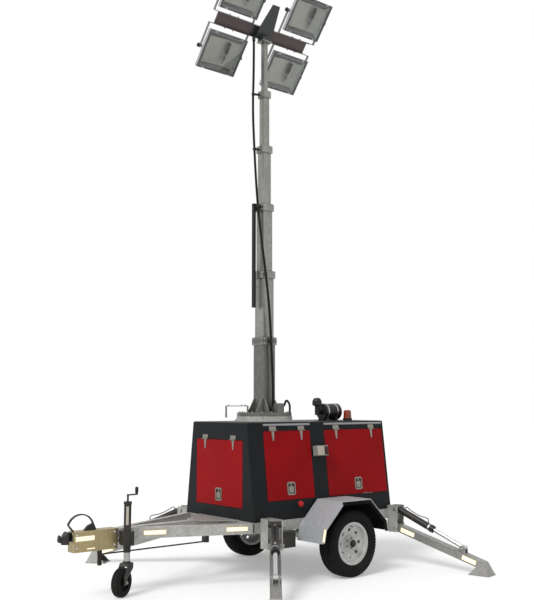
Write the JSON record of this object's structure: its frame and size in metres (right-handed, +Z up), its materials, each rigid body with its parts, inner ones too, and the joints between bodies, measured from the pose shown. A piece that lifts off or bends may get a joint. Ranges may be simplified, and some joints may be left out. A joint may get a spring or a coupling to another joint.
{
  "type": "mobile light tower",
  "caption": "Single-axle trailer with a canopied generator, telescopic square-tube mast, tilting floodlights and folding outriggers.",
  "frame": {"origin": "on the ground under the middle of the whole outline", "axes": "+Z up, the coupling points to -Y, +X is the left side of the trailer"},
  "size_m": [3.3908, 3.9124, 6.1606],
  "materials": {
    "galvanised": "satin",
    "zinc_yellow": "satin",
    "black_paint": "satin",
    "canopy_paint": "gloss",
    "door_red": "gloss",
    "engine_grey": "rough",
    "black_plastic": "matte",
    "amber": "gloss",
    "lamp_red": "gloss",
    "white_paint": "gloss",
    "tyre": "matte",
    "zinc_bright": "satin",
    "jockey_rubber": "matte",
    "chrome": "polished",
    "cable": "matte",
    "bar_paint": "satin",
    "lamp_grey": "satin",
    "glass": "clear"
  },
  "bodies": {
    "trailer": {"chassis_frame": "galvanised", "drawbar_rails": "galvanised", "drawbar_beam": "galvanised", "coupling_housing": "zinc_yellow", "coupling_head": "black_paint", "brake_linkage": "black_paint", "axle_beam": "galvanised", "leaf_springs": "black_paint", "fenders": "galvanised", "canopy_frame": "canopy_paint", "canopy_roof": "canopy_paint", "engine_block": "engine_grey", "air_cleaner": "black_plastic", "beacon_base": "black_plastic", "beacon_lens": "amber", "outlet_box": "black_plastic", "tail_lamps": "lamp_red", "battery_box": "black_plastic", "jockey_tube": "black_paint", "slew_ring": "galvanised", "outrigger_brackets": "galvanised"},
    "wheel_left": {"rim_left": "white_paint", "tyre_left": "tyre"},
    "wheel_right": {"rim_right": "white_paint", "tyre_right": "tyre"},
    "jockey_screw": {"jockey_inner": "zinc_bright"},
    "jockey_caster": {"jockey_fork": "zinc_bright"},
    "jockey_roller": {"jockey_wheel": "jockey_rubber"},
    "door_body_left_front": {"door_left_front": "door_red"},
    "door_body_left_rear": {"door_left_rear": "door_red"},
    "door_body_right_front": {"door_right_front": "door_red"},
    "door_body_right_rear": {"door_right_rear": "door_red"},
    "door_body_front": {"door_front": "door_red"},
    "mast": {"mast_base": "galvanised", "mast_cable": "cable"},
    "mast_stage_1": {"mast_section_1": "galvanised"},
    "mast_stage_2": {"mast_section_2": "galvanised", "mast_rod": "black_paint"},
    "mast_stage_3": {"mast_section_3": "galvanised"},
    "mast_stage_4": {"mast_section_4": "galvanised"},
    "mast_stage_5": {"mast_section_5": "galvanised", "light_bar": "bar_paint", "lamp_yokes": "zinc_bright"},
    "lamps_lower": {"lamp_housings_lower": "lamp_grey", "lamp_glass_lower": "glass"},
    "lamps_upper": {"lamp_housings_upper": "lamp_grey", "lamp_glass_upper": "glass"},
    "leg_front_left": {"outrigger_leg_front_left": "galvanised"},
    "barrel_front_left": {"outrigger_barrel_front_left": "black_paint"},
    "rod_front_left": {"outrigger_rod_front_left": "chrome"},
    "leg_front_right": {"outrigger_leg_front_right": "galvanised"},
    "barrel_front_right": {"outrigger_barrel_front_right": "black_paint"},
    "rod_front_right": {"outrigger_rod_front_right": "chrome"},
    "leg_rear_left": {"outrigger_leg_rear_left": "galvanised"},
    "barrel_rear_left": {"outrigger_barrel_rear_left": "black_paint"},
    "rod_rear_left": {"outrigger_rod_rear_left": "chrome"},
    "leg_rear_right": {"outrigger_leg_rear_right": "galvanised"},
    "barrel_rear_right": {"outrigger_barrel_rear_right": "black_paint"},
    "rod_rear_right": {"outrigger_rod_rear_right": "chrome"}
  },
  "joints": [
    {"name": "wheel_left_spin", "type": "hinge", "parent": "trailer", "child": "wheel_left", "pos_m": [0.79, 0.76177, 0.325], "axis": [1, 0, 0], "continuous": true},
    {"name": "wheel_right_spin", "type": "hinge", "parent": "trailer", "child": "wheel_right", "pos_m": [-0.79, 0.76177, 0.325], "axis": [1, 0, 0], "continuous": true},
    {"name": "jockey_lift", "type": "slide", "parent": "trailer", "child": "jockey_screw", "axis": [0, 0, 1], "range_m": [-0.05, 0.07]},
    {"name": "jockey_swivel", "type": "hinge", "parent": "jockey_screw", "child": "jockey_caster", "pos_m": [0.13, -1.34823, 0.29], "axis": [0, 0, 1], "continuous": true},
    {"name": "jockey_wheel_spin", "type": "hinge", "parent": "jockey_caster", "child": "jockey_roller", "pos_m": [0.16541, -1.41773, 0.125], "axis": [-0.891, -0.454, 0], "continuous": true},
    {"name": "door_left_front_lift", "type": "hinge", "parent": "trailer", "child": "door_body_left_front", "pos_m": [0.47482, 0.24677, 1.42505], "axis": [0, -1, 0], "range_deg": [0, 95]},
    {"name": "door_left_rear_lift", "type": "hinge", "parent": "trailer", "child": "door_body_left_rear", "pos_m": [0.47482, 1.17977, 1.42505], "axis": [0, -1, 0], "range_deg": [0, 95]},
    {"name": "door_right_front_lift", "type": "hinge", "parent": "trailer", "child": "door_body_right_front", "pos_m": [-0.47482, 0.24677, 1.42505], "axis": [0, 1, 0], "range_deg": [0, 95]},
    {"name": "door_right_rear_lift", "type": "hinge", "parent": "trailer", "child": "door_body_right_rear", "pos_m": [-0.47482, 1.17977, 1.42505], "axis": [0, 1, 0], "range_deg": [0, 95]},
    {"name": "door_front_lift", "type": "hinge", "parent": "trailer", "child": "door_body_front", "pos_m": [0, -0.24973, 1.336], "axis": [-1, 0, 0], "range_deg": [0, 95]},
    {"name": "mast_slew", "type": "hinge", "parent": "trailer", "child": "mast", "pos_m": [0, 0.34177, 0.604], "axis": [0, 0, 1], "range_deg": [-170, 170]},
    {"name": "mast_slide_1", "type": "slide", "parent": "mast", "child": "mast_stage_1", "axis": [0, 0, 1], "range_m": [-0.53, 0.65], "deforming": ["mast_cable"]},
    {"name": "mast_slide_2", "type": "slide", "parent": "mast_stage_1", "child": "mast_stage_2", "axis": [0, 0, 1], "range_m": [-0.53, 0.65]},
    {"name": "mast_slide_3", "type": "slide", "parent": "mast_stage_2", "child": "mast_stage_3", "axis": [0, 0, 1], "range_m": [-0.53, 0.65]},
    {"name": "mast_slide_4", "type": "slide", "parent": "mast_stage_3", "child": "mast_stage_4", "axis": [0, 0, 1], "range_m": [-0.53, 0.65]},
    {"name": "mast_slide_5", "type": "slide", "parent": "mast_stage_4", "child": "mast_stage_5", "axis": [0, 0, 1], "range_m": [-0.53, 0.65]},
    {"name": "lamps_lower_tilt", "type": "hinge", "parent": "mast_stage_5", "child": "lamps_lower", "pos_m": [-0.22568, 0.34177, 5.48554], "axis": [0, 1, 0], "range_deg": [-30, 30]},
    {"name": "lamps_upper_tilt", "type": "hinge", "parent": "mast_stage_5", "child": "lamps_upper", "pos_m": [0.18968, 0.34177, 5.99846], "axis": [0, 1, 0], "range_deg": [-30, 30]},
    {"name": "outrigger_front_left", "type": "hinge", "parent": "trailer", "child": "leg_front_left", "pos_m": [0.76191, -0.15767, 0.385], "axis": [-0.6361, -0.7716, 0], "range_deg": [0, 80]},
    {"name": "outrigger_barrel_front_left_turn", "type": "hinge", "parent": "trailer", "child": "barrel_front_left", "pos_m": [0.76191, -0.15767, 0.575], "axis": [-0.6361, -0.7716, 0], "range_deg": [0, 86.7]},
    {"name": "outrigger_rod_front_left_slide", "type": "slide", "parent": "barrel_front_left", "child": "rod_front_left", "axis": [0.7057, -0.5817, -0.4045], "range_m": [-0.2309, 0]},
    {"name": "outrigger_front_right", "type": "hinge", "parent": "trailer", "child": "leg_front_right", "pos_m": [-0.76191, -0.15767, 0.385], "axis": [-0.6361, 0.7716, 0], "range_deg": [0, 80]},
    {"name": "outrigger_barrel_front_right_turn", "type": "hinge", "parent": "trailer", "child": "barrel_front_right", "pos_m": [-0.76191, -0.15767, 0.575], "axis": [-0.6361, 0.7716, 0], "range_deg": [0, 86.7]},
    {"name": "outrigger_rod_front_right_slide", "type": "slide", "parent": "barrel_front_right", "child": "rod_front_right", "axis": [-0.7057, -0.5817, -0.4045], "range_m": [-0.2309, 0]},
    {"name": "outrigger_rear_left", "type": "hinge", "parent": "trailer", "child": "leg_rear_left", "pos_m": [0.65503, 1.65466, 0.385], "axis": [0.2079, -0.9781, 0], "range_deg": [0, 80]},
    {"name": "outrigger_barrel_rear_left_turn", "type": "hinge", "parent": "trailer", "child": "barrel_rear_left", "pos_m": [0.65503, 1.65466, 0.575], "axis": [0.2079, -0.9781, 0], "range_deg": [0, 86.7]},
    {"name": "outrigger_rod_rear_left_slide", "type": "slide", "parent": "barrel_rear_left", "child": "rod_rear_left", "axis": [0.8946, 0.1901, -0.4045], "range_m": [-0.2309, 0]},
    {"name": "outrigger_rear_right", "type": "hinge", "parent": "trailer", "child": "leg_rear_right", "pos_m": [-0.65503, 1.65466, 0.385], "axis": [0.2079, 0.9781, 0], "range_deg": [0, 80]},
    {"name": "outrigger_barrel_rear_right_turn", "type": "hinge", "parent": "trailer", "child": "barrel_rear_right", "pos_m": [-0.65503, 1.65466, 0.575], "axis": [0.2079, 0.9781, 0], "range_deg": [0, 86.7]},
    {"name": "outrigger_rod_rear_right_slide", "type": "slide", "parent": "barrel_rear_right", "child": "rod_rear_right", "axis": [-0.8946, 0.1901, -0.4045], "range_m": [-0.2309, 0]}
  ],
  "couplings": [
    {"joint": "mast_slide_2", "follows": "mast_slide_1", "ratio": 1},
    {"joint": "mast_slide_3", "follows": "mast_slide_1", "ratio": 1},
    {"joint": "mast_slide_4", "follows": "mast_slide_1", "ratio": 1},
    {"joint": "mast_slide_5", "follows": "mast_slide_1", "ratio": 1},
    {"joint": "outrigger_barrel_front_left_turn", "follows": "outrigger_front_left", "ratio": 1.0831},
    {"joint": "outrigger_rod_front_left_slide", "follows": "outrigger_front_left", "m_per_rad": -0.16522},
    {"joint": "outrigger_barrel_front_right_turn", "follows": "outrigger_front_right", "ratio": 1.0831},
    {"joint": "outrigger_rod_front_right_slide", "follows": "outrigger_front_right", "m_per_rad": -0.16522},
    {"joint": "outrigger_barrel_rear_left_turn", "follows": "outrigger_rear_left", "ratio": 1.0831},
    {"joint": "outrigger_rod_rear_left_slide", "follows": "outrigger_rear_left", "m_per_rad": -0.16522},
    {"joint": "outrigger_barrel_rear_right_turn", "follows": "outrigger_rear_right", "ratio": 1.0831},
    {"joint": "outrigger_rod_rear_right_slide", "follows": "outrigger_rear_right", "m_per_rad": -0.16522}
  ]
}
